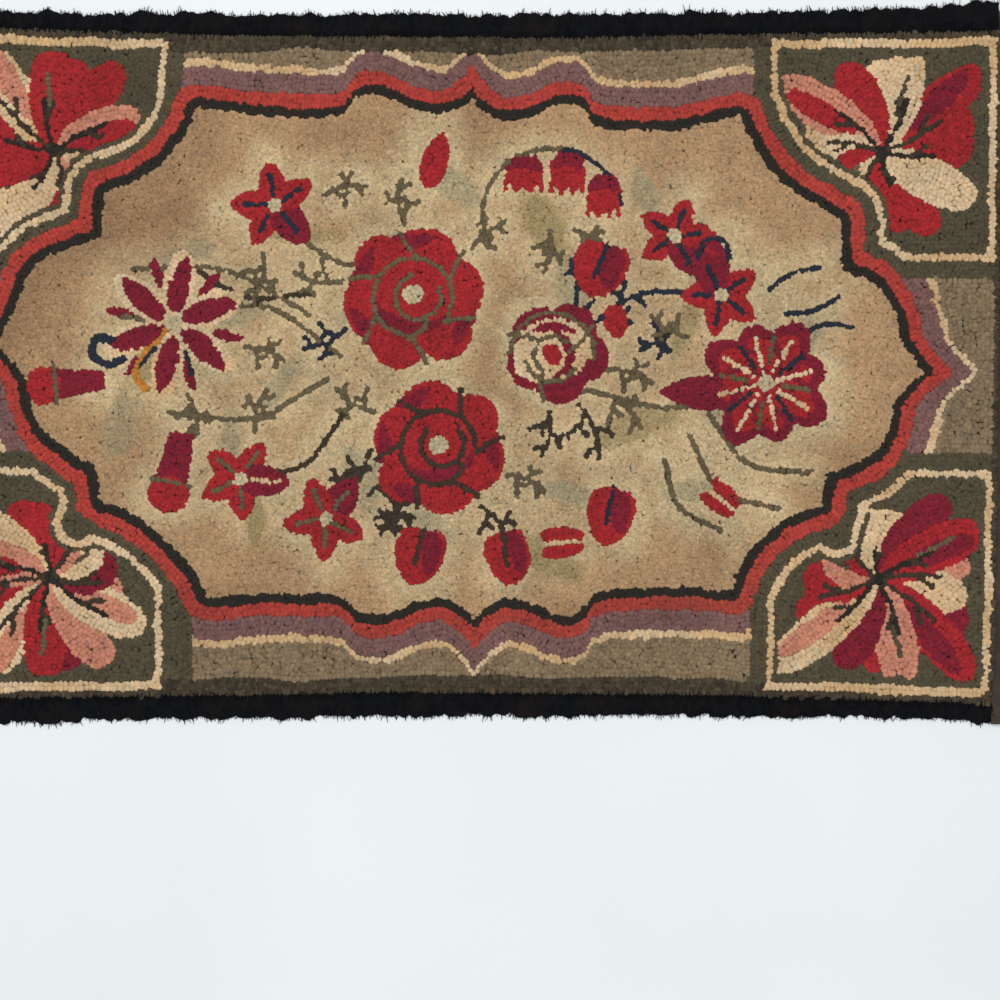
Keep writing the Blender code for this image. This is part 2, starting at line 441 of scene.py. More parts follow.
def striped_bud(x, y, degrees, length, width):
    """Two red slivers with a pale gap between them."""
    for side in (-1, 1):
        base = beside(x, y, degrees, -length / 2, side * 0.28 * width)
        petal(*base, degrees - 3 * side, length, 0.44 * width, "red", 0.4, 0.4, curl=-0.04 * side)
    petal(*polar(x, y, -0.42 * length, degrees), degrees, 0.84 * length, 5.5, "cream", 0.3, 0.3)


def sprig(x, y, degrees, length, yarn):
    """A bare little branch with three twigs on alternate sides, the first two forked."""
    width = 5.0

    def along(share):
        return beside(x, y, degrees, share * length, 0.10 * length * math.sin(math.pi * share))

    line([along(share) for share in (0, 0.35, 0.7, 1)], yarn, width)
    for k in range(3):
        heading = degrees + 54 * (1 if k % 2 else -1)
        root = along(0.22 + 0.26 * k)
        reach = length * (0.48 - 0.09 * k)
        fork = polar(*root, 0.5 * reach, heading)
        line([root, fork, polar(*root, reach, heading - 8)], yarn, width)
        if k < 2:
            line([fork, polar(*fork, 0.42 * reach, heading + 76)], yarn, width)


def stalk(start, end, bow, yarn, width=4.6):
    """A stem from one place to another, which bows to its left by a share of its length."""
    run = np.subtract(end, start)
    middle = np.mean([start, end], 0) + bow * np.array([-run[1], run[0]])
    line([start, middle, end], yarn, width)


def leaf_spray(right, back, yarns, turn):
    """The leaves of one corner panel, opening all round a knot of dark veins.

    right and back are 1 or -1, and bearings are measured from straight out towards the end of the rug.
    """
    knot = (right * KNOT_X, back * KNOT_Y)
    count = len(yarns)

    def heading(bearing):
        a = math.radians(bearing)
        return math.degrees(math.atan2(back * math.sin(a), right * math.cos(a)))

    def room(bearing):
        """How far the panel reaches from the knot: least towards the field, most into the outer corner."""
        a = math.radians(bearing)
        inwards = max(0, math.cos(a - math.radians(225)))
        return LEAF_REACH * (1 - 0.46 * inwards) / max(abs(math.cos(a)), abs(math.sin(a)))

    def leaf(start, bearing, long, wide, yarn):
        way = heading(bearing)
        root = polar(*knot, start, way)
        petal(*root, way, long, wide * LEAF_REACH, yarn, 0.46, 0.40, curl=0.05 * right * back)

    bearings = [turn + 360 / count * k + 5 * math.sin(3 * k) for k in range(count)]
    for k in range(0, count, 2):  # short ones that fill in behind
        between = bearings[k] + 180 / count
        leaf(0.42 * room(between), between, 0.52 * room(between), 0.36, yarns[(k + 3) % count])
    for k, (bearing, yarn) in enumerate(zip(bearings, yarns)):
        long = room(bearing) * (1.0 if k % 3 else 0.88)
        leaf(5, bearing, long, 0.45, yarn)
        if k % 3 == 1:
            leaf(0.28 * long, bearing + 4, 0.66 * long, 0.22, SECOND_SHADE[yarn])
        if k % 4 == 2:
            stretch = [polar(*knot, share * long, heading(bearing)) for share in (0.40, 0.58, 0.76)]
            line(stretch, "olive" if yarn in ("cream", "pink") else "stem", 4.8)
    for k, bearing in enumerate(bearings):
        between = bearing + 180 / count
        long = room(between) * (0.62 if k % 2 else 0.80)
        if k % 3 != 2:
            vein = [polar(*knot, share * long, heading(between + 12 * share)) for share in (0, 0.4, 0.8)]
            line(vein, "black" if k % 2 else "bark", 5.0)
            twig = polar(*knot, 0.5 * long, heading(between + 6))
            line([twig, polar(*twig, 0.24 * long, heading(between + 50))], "bark", 4.6)
    oval(*knot, 6, 6, 0, "black")


SECOND_SHADE = {"red": "crimson", "crimson": "pink", "pink": "red", "cream": "pink"}
KNOT_X = 414  # the leaves of a corner spring from here
KNOT_Y = 212
LEAF_REACH = 98  # from the knot straight out to the panel's cream edge
SPRAYS = (  # (right, back, yarns of the leaves, first bearing)
    (1, -1, "cream red pink crimson cream red pink red cream crimson red".split(), 8),
    (-1, -1, "red cream red pink cream crimson cream pink red cream pink".split(), 20),
    (1, 1, "red red cream red pink cream red cream red cream".split(), 0),
    (-1, 1, "red cream red red pink red cream pink cream red".split(), 14),
)


# ---- The border


# The right-hand front quarter of the pale field's outline, from the middle of the front to the right tip.
FIELD_EDGE = (  # (x, y)
    (8, -255),
    (24, -242),
    (42, -236),
    (64, -240),
    (84, -249),
    (102, -253),
    (118, -247),
    (128, -231),
    (150, -226),
    (210, -224),
    (268, -227),
    (277, -202),
    (297, -173),
    (325, -152),
    (358, -141),
    (360, -124),
    (363, -108),
    (388, -100),
    (412, -84),
    (424, -64),
    (430, -38),
    (443, -22),
    (457, -8),
)
CORNERS = (0, 7, 10, 14, 16, 22)  # rows of FIELD_EDGE where the outline turns sharply
# How each other quarter strays from the mirror image of that one: outwards, and towards the back.
BACK_RIGHT = (
    (0, 0, 10), (200, 0, 12), (280, 6, 26), (345, 8, 14), (359, 17, 3),
    (364, 11, -13), (390, 14, -15), (412, 9, -19), (430, 4, -12), (457, 0, -13),
)
FRONT_LEFT = (
    (0, -16, 0), (102, -16, 0), (128, -6, -4), (268, -10, -7),
    (297, 3, -2), (358, 8, 6), (390, 7, 12), (457, 12, 28),
)
BACK_LEFT = (
    (0, -16, 14), (128, -6, 22), (268, 4, 32), (297, 2, 36), (358, 6, 31),
    (364, 4, 19), (390, 6, 18), (412, 12, 22), (430, 20, 24), (457, 12, 12),
)
BLACK_LINE = 9.5
RED_LINE = 23  # outer edge of the red line, from the field
MAUVE = 42.5
CREAM_LINE = 49.5
CORNER_X = 303  # the corner panels start here
CORNER_Y = 103
OLIVE_MARGIN = 17
EDGE_ROWS = 14  # dark rows along the front and the back


def field_quarter(right, back, strays):
    """The outline of one quarter of the field; right and back are 1 or -1."""
    pieces = [FIELD_EDGE[start : end + 1] for start, end in zip(CORNERS, CORNERS[1:])]
    curve = np.concatenate([smooth(piece, steps=6)[:-1] for piece in pieces] + [[FIELD_EDGE[-1]]])
    at, outwards, up = np.array(strays, float).T
    x = right * (curve[:, 0] + np.interp(curve[:, 0], at, outwards))
    y = -back * curve[:, 1] + np.interp(curve[:, 0], at, up)
    return np.stack([x, y], 1)


def field_outline():
    """All round the field, starting at the middle of the front."""
    none = ((0, 0, 0), (457, 0, 0))
    front_right, back_right = field_quarter(1, -1, none), field_quarter(1, 1, BACK_RIGHT)
    front_left, back_left = field_quarter(-1, -1, FRONT_LEFT), field_quarter(-1, 1, BACK_LEFT)
    return np.concatenate([front_right, back_right[::-1], back_left, front_left[::-1]])


def distance_from(seeds):
    """How far each cell of the chart is from the nearest seed cell, by jump flooding."""
    rows, columns = np.indices(seeds.shape, dtype=np.float32)
    near = [np.where(seeds, places, -5e3).astype(np.float32) for places in (rows, columns)]
    best = np.where(seeds, 0, 1e9).astype(np.float32)
    for step in (256, 128, 64, 32, 16, 8, 4, 2, 1):
        for down in (-step, 0, step):
            for over in (-step, 0, step):
                to = tuple(slice(max(0, shift), min(0, shift) or None) for shift in (down, over))
                of = tuple(slice(max(0, -shift), min(0, -shift) or None) for shift in (down, over))
                apart = (near[0][of] - rows[to]) ** 2 + (near[1][of] - columns[to]) ** 2
                closer = apart < best[to]
                best[to][closer] = apart[closer]
                near[0][to][closer] = near[0][of][closer]
                near[1][to][closer] = near[1][of][closer]
    return np.sqrt(best)


def paint_border():
    """The bands round the field, the four corner panels and the rows along the edges."""
    outline = field_outline()
    within = inside(outline, slice(0, ROWS), slice(0, COLUMNS))
    core = within.copy()
    for axis in (0, 1):
        for way in (1, -1):
            core &= np.roll(within, way, axis)
    rim = within & ~core
    out = np.where(within, -1.0, 1.0) * distance_from(rim)
    x, y = np.meshgrid(ACROSS, UP)
    # Straight out from the front, the back and the tips, so that the bands keep the field's points sharp.
    front_y = np.interp(ACROSS, *sorted_line(outline[outline[:, 1] < -205], 0))
    back_y = np.interp(ACROSS, *sorted_line(outline[outline[:, 1] > 215], 0))
    straight = np.abs(x) < 200
    out = np.where(straight & (y < -150), front_y[None, :] - y, out)
    out = np.where(straight & (y > 150), y - back_y[None, :], out)
    for side in (-1, 1):
        tip = outline[(outline[:, 0] * side > 400) & (np.abs(outline[:, 1]) < 80)]
        tip_x = np.interp(UP, *sorted_line(tip, 1))
        out = np.where((side * x > 400) & (np.abs(y) < 66), side * (x - tip_x[:, None]), out)
    out += 1.2 * ripple(x, y, 34, 7) + 1.5 * ripple(x, y, 6, 8)
    point = 10 * np.clip(1 - np.abs(x - 9) / 30, 0, 1)
    point += 6 * np.clip(1 - np.abs(y + np.where(x > 0, 8, -20)) / 45, 0, 1) * (np.abs(x) > 400)
    panel = np.minimum(np.abs(x) - CORNER_X, np.abs(y) - CORNER_Y) + 1.5 * ripple(x, y, 40, 9)
    panel = np.minimum(panel, out - np.where(x < 0, 33, 36))
    scroll = np.hypot(np.abs(x) - np.where(x < 0, 387, 371), y + np.where(x < 0, 158, 168)) - 17
    panel = np.minimum(panel, scroll)
    wider = np.where((x < 0) & (y < 0), 14, 0)  # the front left panel has a broader margin
    margin = np.minimum(np.abs(x) - CORNER_X + wider, np.abs(y) - CORNER_Y)
    margin = margin + OLIVE_MARGIN + ripple(x, y, 25, 10)
    from_end = HALF_LENGTH - np.abs(x) + ripple(x, y, 30, 11)
    from_side = HALF_DEPTH - np.abs(y) + 1.5 * ripple(x, y, 30, 12)
    fade = EDGE_ROWS + 4 * ripple(x, y, 60, 13)
    for within, yarn in (
        (out > 0, "black"),
        (out > BLACK_LINE, "brick"),
        (out > RED_LINE + point, "mauve"),
        (out > MAUVE + point, "cream"),
        (out > CREAM_LINE + point, "drab"),
        ((margin > 0) & (out > RED_LINE), "olive"),
        ((from_side < fade) & (np.abs(x) < CORNER_X), "brown"),
        (panel > 0, "cream"),
        ((panel > 7.0) & (from_side > 14) & (from_end > 9), "olive"),
        (from_end < 1.5, "brown"),
        (from_side < 5, "brown"),
    ):
        chart[within] = YARNS.index(yarn)
    ragged = 3 * ripple(x, y, 14, 14)
    return (panel > 12) & (from_side > 21 + ragged) & (from_end > 16 + ragged)


def sorted_line(points, along):
    """Points of an outline as (places along, distances) in rising order."""
    order = np.argsort(points[:, along])
    return points[order, along], points[order, 1 - along]


def ripple(x, y, size, seed):
    """Smooth random unevenness from -1 to 1, whose patches are about size millimetres across."""
    table = np.random.default_rng(seed).uniform(-1, 1, (64, 64))
    u, v = np.asarray(x) / size + 31.7, np.asarray(y) / size + 17.3
    i, j = np.floor(u).astype(int), np.floor(v).astype(int)
    s, t = u - i, v - j
    s, t = s * s * (3 - 2 * s), t * t * (3 - 2 * t)
    corner = lambda a, b: table[(i + a) % 64, (j + b) % 64]
    low = corner(0, 0) * (1 - s) + corner(1, 0) * s
    high = corner(0, 1) * (1 - s) + corner(1, 1) * s
    return low * (1 - t) + high * t


# ---- The bouquet


# The three roses stand in a triangle about the middle, and the other flowers on an oval round them.
OPEN_ROSE = polar(0, 0, 86, 128)
LOW_ROSE = polar(0, 0, 88, 252)
HALF_ROSE = polar(0, 0, 92, 8)
OVAL_LONG = 302
OVAL_SHORT = 170


def ring(bearing, reach=1.0):
    """A place on the oval, or reach times as far out."""
    a = math.radians(bearing)
    return (reach * OVAL_LONG * math.cos(a), reach * OVAL_SHORT * math.sin(a))


# Where the flowers of the oval stand.
LILY = ring(-6)
TRUMPETS = ring(26, 0.94)
BELLS = ring(72, 0.92)
STAR_BACK = ring(124, 1.14)
PALE_LILY = ring(166)
STAR_FRONT_LEFT = ring(222)
STAR_FRONT = ring(243, 1.02)

SPRIGS = (  # (place, bearing out of it, distance from it, length, yarn)
    (OPEN_ROSE, 168, 76, 46, "stem"),
    (OPEN_ROSE, 205, 76, 44, "navy"),
    (OPEN_ROSE, 96, 76, 44, "stem"),
    (OPEN_ROSE, 40, 78, 40, "stem"),
    (LOW_ROSE, 150, 72, 46, "stem"),
    (LOW_ROSE, 196, 72, 40, "bark"),
    (LOW_ROSE, 236, 70, 34, "bark"),
    (LOW_ROSE, 306, 72, 46, "bark"),
    (LOW_ROSE, 338, 72, 42, "stem"),
    (HALF_ROSE, 70, 56, 46, "navy"),
    (HALF_ROSE, 34, 56, 50, "navy"),
    (HALF_ROSE, 342, 56, 44, "stem"),
    (HALF_ROSE, 292, 56, 58, "bark"),
    (HALF_ROSE, 318, 62, 52, "stem"),
    (HALF_ROSE, 262, 60, 44, "bark"),
    (PALE_LILY, 342, 76, 40, "stem"),
    (BELLS, 262, 14, 40, "stem"),
    (BELLS, 330, 26, 34, "stem"),
    (STAR_BACK, 258, 52, 44, "stem"),
    (STAR_BACK, 12, 52, 42, "stem"),
    (TRUMPETS, 214, 52, 46, "navy"),
    (STAR_FRONT, 28, 50, 40, "bark"),
    (STAR_FRONT, 0, 50, 38, "bark"),
    (LILY, 150, 92, 40, "stem"),
    (STAR_FRONT_LEFT, 74, 50, 42, "stem"),
    (PALE_LILY, 282, 74, 40, "stem"),
)
PALE_LEAVES = 26
LEAF_TONES = ((152, 139, 107), (152, 139, 107), (140, 122, 82))


def pale_leaves():
    """Soft leaves hooked into the field, set out like the seeds of a flower.

    Each is (place, half its length, half its width, bearing, tone).
    """
    for k in range(PALE_LEAVES):
        bearing = 137.5 * k
        place = ring(bearing, 0.24 + 0.98 * math.sqrt(k / PALE_LEAVES))
        yield place, 34 + 8 * (k % 3), 13 + 7 * (k % 2), bearing + 50, LEAF_TONES[k % 3]


def paint_stalks():
    """The long stems, from the roses out to the flowers and past them."""
    stalk(ring(20, 0.36), TRUMPETS, 0.16, "navy")
    stalk(ring(-20, 0.40), LILY, -0.12, "stem")
    stalk(ring(40, 0.30), ring(52, 0.82), -0.14, "navy")
    stalk(ring(110, 0.60), STAR_BACK, 0.16, "stem")
    stalk(ring(172, 0.42), PALE_LILY, -0.20, "stem")
    stalk(ring(190, 0.46), ring(196, 1.02), 0.14, "stem")
    stalk(ring(216, 0.50), STAR_FRONT_LEFT, 0.18, "bark")
    stalk(ring(238, 0.60), STAR_FRONT, 0.10, "bark")
    stalk(ring(140, 0.66), ring(146, 1.14), 0.16, "bark")
    stalk(ring(150, 0.60), ring(153, 1.24), -0.12, "stem")
    for bearing, reach in ((-20, 1.10), (-30, 1.14), (-40, 1.10)):
        stalk(ring(bearing, 0.86), ring(bearing - 9, reach + 0.20), -0.20, "stem", 5.2)
    for bearing, bow in ((8, 0.14), (16, -0.10), (24, 0.10)):
        stalk(ring(bearing, 1.10), ring(bearing + 2, 1.30), bow, "navy")


def paint_buds():
    folded_bud(*ring(57, 0.86), 252, 56, 56, "navy")
    petal(*ring(97, 1.06), 74, 58, 27, "red", 0.5, 0.7)
    petal(*ring(36, 0.60), 282, 34, 24, "red", 0.4, 0.6)
    folded_bud(*ring(262, 0.98), 258, 58, 50)
    folded_bud(*ring(277, 1.00), 282, 54, 46)
    folded_bud(*ring(304, 0.88), 262, 58, 48, "navy")
    striped_bud(*ring(287, 1.10), 6, 44, 34)
    striped_bud(*ring(317, 1.16), -38, 40, 32)
    tube_bud(*ring(184, 1.20), 186, 74, 19, 10)
    tube_bud(*ring(203, 1.02), 258, 76, 21, 12)


def paint_bouquet():
    """Stems and sprigs first, then the flowers over them."""
    paint_stalks()
    for place, bearing, distance, length, yarn in SPRIGS:
        sprig(*polar(*place, distance, bearing), bearing, length, yarn)
    bell_branch(*BELLS, 70)
    striped_lily(*PALE_LILY, 76, 22)
    open_lily(*LILY, 70, 14)
    rose(*OPEN_ROSE, 74, 12)
    rose(*LOW_ROSE, 70, 40, "bark")
    half_open_rose(*HALF_ROSE, 54, 205)
    star(*STAR_BACK, 47, 100, odd=3)
    star(*STAR_FRONT_LEFT, 45, 62, odd=4, rib="stem", dotted=4)
    star(*STAR_FRONT, 46, 46, odd=0, rib="stem")
    trumpets(*TRUMPETS, 44, 128, 76)
    paint_buds()


# ---- Hooking


EDGE_ROW = 1.8  # the outermost row lies this far inside the edge of its patch
FIELD_ECHO = 5.0  # nearer an edge than this the field's rows follow it
GROUND_ECHO = 13.0  # and those of the border's grounds
HEADINGS = 16  # ways that a row may go on from a loop
SECTOR = 2 * math.pi / HEADINGS
FARTHEST = 6  # cells
SHARPEST_BEND = 1.15  # radians from one loop to the next
WRONG_LENGTH = 0.6  # what a step costs for each cell too long or short
BEND = 2.0  # for turning
FIELD_STRAYING = 0.7  # and for each cell off the middle of its row, in the field
STRAYING = 1.3  # and elsewhere
WORST_STEP = 3.0  # a row ends where no step costs less


def row_offsets():
    """How far each cell is from the middle of the nearest row of hooking."""
    edge = np.zeros(chart.shape, bool)
    for axis in (0, 1):
        for way in (1, -1):
            edge |= np.roll(chart, way, axis) != chart
    edge[[0, -1], :] = True
    edge[:, [0, -1]] = True
    depth = distance_from(edge) - EDGE_ROW
    x, y = np.meshgrid(ACROSS, UP)
    drift = y + 9 * ripple(x, y, 90, 21) + 5 * ripple(x, y, 30, 22) + 2.5 * ripple(x, y, 12, 23)
    echo = np.where(chart == FIELD, FIELD_ECHO, GROUND_ECHO)
    lane = np.where(of_yarns(chart, GROUNDS) & (depth > echo), drift, depth)
    row_spacing = np.where(chart == FIELD, FIELD_SPACING, ROW_SPACING)
    off = np.abs((lane + row_spacing / 2) % row_spacing - row_spacing / 2)
    return off, np.maximum(depth, 0)


def steps_by_heading(spacing):
    """For each heading, the cells one loop away in about that direction, with a cost of straying."""
    reach = [
        (down, over, math.hypot(down, over), math.atan2(down, over))
        for down in range(-FARTHEST, FARTHEST + 1)
        for over in range(-FARTHEST, FARTHEST + 1)
        if spacing - 0.5 <= math.hypot(down, over) <= spacing + 0.8
    ]
    steps = []
    for sector in range(HEADINGS):
        heading = sector * SECTOR
        near = []
        for down, over, distance, angle in reach:
            bend = abs((angle - heading + math.pi) % (2 * math.pi) - math.pi)
            if bend < SHARPEST_BEND:
                cost = WRONG_LENGTH * abs(distance - spacing) + BEND * (1 - math.cos(bend))
                near.append((down, over, cost, int(round(angle / SECTOR)) % HEADINGS, angle))
        steps.append(near)
    return steps


def hook_loops():
    """Every loop as (column, row, heading), in the order a hooker would work."""
    off, depth = row_offsets()
    rank = np.full(len(YARNS), len(HOOKING_ORDER))
    for place, names in enumerate(HOOKING_ORDER):
        for name in names:
            rank[YARNS.index(name)] = place
    lane = np.minimum(np.round(depth / ROW_SPACING), 6).astype(int)
    order = rank[chart] * 10 + lane
    free = [bytearray(b"\1" * COLUMNS) for _ in range(ROWS)]
    off_rows, chart_rows = off.tolist(), chart.tolist()
    steps = {True: steps_by_heading(FIELD_SPACING), False: steps_by_heading(LOOP_SPACING)}
    discs = {
        close: [(down, int(math.sqrt(reach**2 - down**2))) for down in range(-int(reach), int(reach) + 1)]
        for close, reach in ((True, FIELD_CLEARANCE), (False, CLEARANCE))
    }
    loops = []

    def place(row, column, heading):
        loops.append((column, row, heading))
        for down, half in discs[chart_rows[row][column] == FIELD]:
            if 0 <= row + down < ROWS:
                left = max(0, column - half)
                right = min(COLUMNS, column + half + 1)
                free[row + down][left:right] = bytes(right - left)

    def walk(row, column, sector):
        yarn = chart_rows[row][column]
        ways = steps[yarn == FIELD]
        straying = FIELD_STRAYING if yarn == FIELD else STRAYING
        while True:
            best = None
            for down, over, cost, next_sector, angle in ways[sector]:
                r, c = row + down, column + over
                if 0 <= r < ROWS and 0 <= c < COLUMNS and free[r][c] and chart_rows[r][c] == yarn:
                    total = cost + straying * off_rows[r][c]
                    if best is None or total < best[0]:
                        best = (total, r, c, next_sector, angle)
            if best is None or best[0] > WORST_STEP:
                return
            _, row, column, sector, angle = best
            place(row, column, angle)

    rows, columns = np.nonzero(off < 1.0)
    for seed in np.argsort(order[rows, columns] * 1.0, kind="stable"):
        row, column = int(rows[seed]), int(columns[seed])
        if free[row][column]:
            trial = []
            for sector in range(0, HEADINGS, 2):
                r = row + round(LOOP_SPACING * math.sin(sector * SECTOR))
                c = column + round(LOOP_SPACING * math.cos(sector * SECTOR))
                if 0 <= r < ROWS and 0 <= c < COLUMNS and chart_rows[r][c] == chart_rows[row][column]:
                    trial.append((off_rows[r][c], sector))
            sector = min(trial)[1] if trial else 0
            place(row, column, sector * SECTOR)
            walk(row, column, sector)
            walk(row, column, (sector + HEADINGS // 2) % HEADINGS)
    left_over = np.nonzero(np.array(free))
    for row, column in zip(*(cells.tolist() for cells in left_over)):
        if free[row][column]:
            place(row, column, float(rng.uniform(0, math.pi)))
    return np.array(loops)


# ---- Dyeing


def mixed(first, second, share):
    share = np.clip(share, 0, 1)[:, None]
    return first * (1 - share) + second * share


def dye_loops(x, y, yarn):
    """The colour of each loop."""
    colours = np.array([DYES[name] for name in YARNS])[yarn]
    field = yarn == FIELD
    drawn = ~of_yarns(chart, ("field", "drab", "olive", "brown", "black", "brick", "mauve"))
    columns = np.clip(np.round(x).astype(int) + HALF_LENGTH, 0, COLUMNS - 1)
    rows = np.clip(np.round(y).astype(int) + HALF_DEPTH, 0, ROWS - 1)
    drawn &= (np.abs(ACROSS)[None, :] < 370) & (np.abs(UP)[:, None] < 240)
    drawn &= np.hypot(ACROSS[None, :] / 400, UP[:, None] / 262) < 1
    near = distance_from(drawn)[rows, columns]
    patch = 0.6 * ripple(x, y, 55, 31) + 0.4 * ripple(x, y, 20, 32)
    pale = 1.0 - near / 34 + 0.55 * patch
    all_of = lambda *colour: np.array([linear(*colour)] * len(x))
    ground = mixed(all_of(166, 133, 97), all_of(188, 165, 126), pale)
    for (cx, cy), long, short, degrees, tone in pale_leaves():
        turn = math.radians(degrees)
        u = ((x - cx) * math.cos(turn) + (y - cy) * math.sin(turn)) / long
        v = (-(x - cx) * math.sin(turn) + (y - cy) * math.cos(turn)) / short
        leaf = 2.6 * (1 - np.hypot(u, v)) + 0.5 * ripple(x, y, 12, 33)
        ground = mixed(ground, all_of(*tone), 0.8 * np.clip(leaf, 0, 1))
    # The field is darker in broad random patches, away from the flowers and towards the left end.
    darker_share = 0.8 * (ripple(x, y, 80, 34) - 0.25) - 0.3 * pale + 0.8 * np.clip(-x / 230 - 0.95, 0, 1)
    finished = mixed(ground, all_of(140, 109, 77), np.clip(darker_share, 0, 0.85))
    golden = np.where(yarn == YARNS.index("cream"), 0.3 + 0.7 * ripple(x, y, 46, 37), 0)
    colours = mixed(colours, all_of(186, 148, 100), np.clip(golden, 0, 0.7))
    low_brick = (yarn == YARNS.index("brick")) & (y < -150)
    dull = np.clip((-y - 170) / 50, 0, 1) * (0.22 + 0.22 * ripple(x, y, 70, 38))
    colours = np.where(low_brick[:, None], mixed(colours, all_of(112, 62, 46), dull), colours)
    colours = np.where(field[:, None], finished, colours)
    spread = np.array([UNEVEN.get(name, EVEN) for name in YARNS])[yarn]
    shade = 1 + spread * rng.normal(0, 1, len(x)) + 0.10 * ripple(x, y, 48, 35) + 0.07 * ripple(x, y, 15, 36)
    colours = colours * np.clip(shade, 0.55, 1.5)[:, None]
    warmth = 0.03 * rng.normal(0, 1, len(x))
    return np.clip(colours * np.stack([1 + warmth, np.ones(len(x)), 1 - warmth], 1), 0, 1)


# ---- Node graphs


class Term:
    """An output of a node, which takes part in arithmetic."""

    def __init__(self, graph, socket):
        self.graph = graph
        self.socket = socket

    def _math(self, operation, first, second):
        return self.graph.node("ShaderNodeMath", {"operation": operation}, {0: first, 1: second})

    def __add__(self, other):
        return self._math("ADD", self, other)

    def __sub__(self, other):
        return self._math("SUBTRACT", self, other)

    def __rsub__(self, other):
        return self._math("SUBTRACT", other, self)

    def __mul__(self, other):
        return self._math("MULTIPLY", self, other)

    def __truediv__(self, other):
        return self._math("DIVIDE", self, other)

    def __rtruediv__(self, other):
        return self._math("DIVIDE", other, self)

    def __pow__(self, other):
        return self._math("POWER", self, other)

    def __rpow__(self, other):
        return self._math("POWER", other, self)

    __radd__ = __add__
    __rmul__ = __mul__

    def clamped(self):
        return self.graph.node("ShaderNodeClamp", {}, {0: self})

    def tinted(self, colour, share, blend="MIX"):
        """This colour mixed with another."""
        settings = {"data_type": "RGBA", "blend_type": blend}
        return self.graph.node("ShaderNodeMix", settings, {0: share, 6: self, 7: colour}, 2)

    def out(self, name):
        """Another output of the same node."""
        return Term(self.graph, self.socket.node.outputs[name])


class Graph:
    """A node tree that nodes are added to in one call each."""

    def __init__(self, tree):
        self.tree = tree

    def node(self, kind, settings=None, inputs=None, output=0):
        node = self.tree.nodes.new(kind)
        for name, value in (settings or {}).items():
            setattr(node, name, value)
        for key, value in (inputs or {}).items():
            if isinstance(value, Term):
                self.tree.links.new(value.socket, node.inputs[key])
            else:
                node.inputs[key].default_value = value
        return Term(self, node.outputs[output]) if len(node.outputs) else None


def finish(name, sheen, paint, gloss=0.25):
    """A cloth finish: paint(graph) gives its colour, roughness, height from 0 to 1 and depth in metres."""
    made = bpy.data.materials.new(name)
    made.use_nodes = True
    graph = Graph(made.node_tree)
    shader = made.node_tree.nodes["Principled BSDF"]
    shader.inputs["Sheen Weight"].default_value = sheen
    shader.inputs["Sheen Roughness"].default_value = 0.5
    shader.inputs["Specular IOR Level"].default_value = gloss
    colour, rough, height, depth = paint(graph)
    made.node_tree.links.new(colour.socket, shader.inputs["Base Color"])
    made.node_tree.links.new(rough.socket, shader.inputs["Roughness"])
    bump = graph.node("ShaderNodeBump", {}, {"Strength": 1.0, "Distance": depth, "Height": height})
    made.node_tree.links.new(bump.socket, shader.inputs["Normal"])
    return made


def place_of(graph):
    return graph.node("ShaderNodeTexCoord").out("Object")


def noise(graph, place, scale, detail=2.0, roughness=0.5):
    inputs = {"Vector": place, "Scale": scale, "Detail": detail, "Roughness": roughness}
    return graph.node("ShaderNodeTexNoise", {}, inputs)


def wave(graph, place, axis, scale, distortion, detail_scale):
    """Parallel threads, set out along an axis."""
    inputs = {"Vector": place, "Scale": scale, "Distortion": distortion, "Detail": 1.0}
    inputs["Detail Scale"] = detail_scale
    return graph.node("ShaderNodeTexWave", {"bands_direction": axis}, inputs).out("Fac")


def opaque(*colour):
    return (*linear(*colour), 1)


def dyed(graph, *colour):
    """A plain colour, to tint."""
    plain = graph.node("ShaderNodeRGB")
    plain.socket.default_value = opaque(*colour)
    return plain


def loop_wool(name):
    """Wool yarn in loops: the dye of each loop, twisted fibres, and painted shade down between the loops."""

    def paint(graph):
        place = place_of(graph)
        dye = graph.node("ShaderNodeAttribute", {"attribute_name": "dye"})
        fibre = noise(graph, place, 1500.0, 3.0, 0.6)
        twist = noise(graph, place, 420.0, 2.0)
        height = graph.node("ShaderNodeSeparateXYZ", {}, {0: place}).out("Z")
        lift = ((height * 1000.0 - LOOP_BASE) / (PILE_HEIGHT - LOOP_BASE)).clamped()
        # painted shade: each loop is darker towards its base, where the loops meet
        shade = (0.66 + 0.36 * lift) * (0.82 + 0.36 * fibre) * (0.80 + 0.40 * twist)
        tone = graph.node("ShaderNodeCombineColor", {}, {0: shade, 1: shade, 2: shade})
        colour = dye.tinted(tone, 1.0, "MULTIPLY")
        return colour, 0.80 + 0.25 * fibre, 0.65 * fibre + 0.35 * twist, 0.0007

    return finish(name, 0.08, paint)


# ---- Instances


def new_piece(name, mesh):
    piece = bpy.data.objects.new(name, mesh)
    bpy.context.scene.collection.objects.link(piece)
    return piece


def piece_from(made, name, material, smooth_faces=True):
    """A piece with the mesh that has been built, its faces turned outwards."""
    bmesh.ops.recalc_face_normals(made, faces=made.faces[:])
    mesh = bpy.data.meshes.new(name)
    made.to_mesh(mesh)
    made.free()
    mesh.materials.append(material)
    for face in mesh.polygons:
        face.use_smooth = smooth_faces
    return new_piece(name, mesh)


def points_mesh(name, places, **facts):
    """A mesh of bare points with a value at each."""
    mesh = bpy.data.meshes.new(name)
    mesh.vertices.add(len(places))
    mesh.vertices.foreach_set("co", np.asarray(places, np.float32).ravel())
    for fact, values in facts.items():
        values = np.asarray(values, np.float32)
        kind, field = ("FLOAT_VECTOR", "vector") if values.shape[1] == 3 else ("FLOAT_COLOR", "color")
        mesh.attributes.new(fact, kind, "POINT").data.foreach_set(field, values.ravel())
    return mesh


